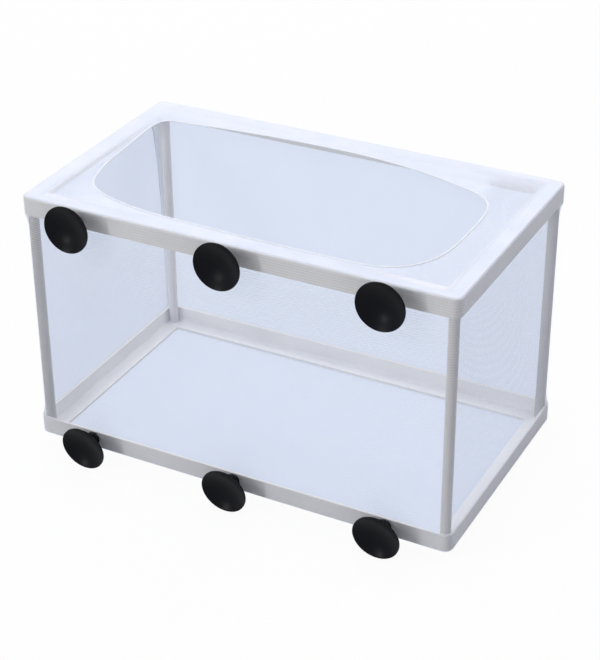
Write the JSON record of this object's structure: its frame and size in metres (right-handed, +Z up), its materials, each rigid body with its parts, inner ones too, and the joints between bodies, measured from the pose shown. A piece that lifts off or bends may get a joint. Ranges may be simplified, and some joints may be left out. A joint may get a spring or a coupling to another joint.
{
  "type": "fish breeding box",
  "caption": "Rectangular net box for small fish: plastic rings on corner posts, fine net walls and floor, elastic-edged top opening, suction cups along one long side.",
  "frame": {"origin": "centre of the box in plan, on the underside of the net floor", "axes": "+Z up, +X along the long side, -Y towards the side with the suction cups"},
  "size_m": [0.2658, 0.1662, 0.1712],
  "materials": {
    "ring_plastic": "satin white",
    "post_plastic": "satin white",
    "net": "fine white net",
    "elastic": "white elastic cord",
    "cup_rubber": "soft black"
  },
  "bodies": {
    "frame": {"lower_ring": "ring_plastic", "upper_ring": "ring_plastic", "post_front_left": "post_plastic", "post_front_right": "post_plastic", "post_back_left": "post_plastic", "post_back_right": "post_plastic", "net_floor": "net", "net_front": "net", "net_back": "net", "net_left": "net", "net_right": "net", "net_top": "net", "corner_seam": "net", "opening_hem": "net", "opening_elastic": "elastic"},
    "cup_upper_left": {"cup_upper_left": "cup_rubber"},
    "cup_upper_middle": {"cup_upper_middle": "cup_rubber"},
    "cup_upper_right": {"cup_upper_right": "cup_rubber"},
    "cup_lower_left": {"cup_lower_left": "cup_rubber"},
    "cup_lower_middle": {"cup_lower_middle": "cup_rubber"},
    "cup_lower_right": {"cup_lower_right": "cup_rubber"}
  },
  "joints": [
    {"name": "cup_upper_left_spin", "type": "hinge", "parent": "frame", "child": "cup_upper_left", "pos_m": [-0.0943, -0.076, 0.1496], "axis": [0, -1, 0], "continuous": true},
    {"name": "cup_upper_middle_spin", "type": "hinge", "parent": "frame", "child": "cup_upper_middle", "pos_m": [0, -0.076, 0.1496], "axis": [0, -1, 0], "continuous": true},
    {"name": "cup_upper_right_spin", "type": "hinge", "parent": "frame", "child": "cup_upper_right", "pos_m": [0.0943, -0.076, 0.1496], "axis": [0, -1, 0], "continuous": true},
    {"name": "cup_lower_left_spin", "type": "hinge", "parent": "frame", "child": "cup_lower_left", "pos_m": [-0.0943, -0.076, 0.0072], "axis": [0, -1, 0], "continuous": true},
    {"name": "cup_lower_middle_spin", "type": "hinge", "parent": "frame", "child": "cup_lower_middle", "pos_m": [0, -0.076, 0.0072], "axis": [0, -1, 0], "continuous": true},
    {"name": "cup_lower_right_spin", "type": "hinge", "parent": "frame", "child": "cup_lower_right", "pos_m": [0.0943, -0.076, 0.0072], "axis": [0, -1, 0], "continuous": true}
  ]
}
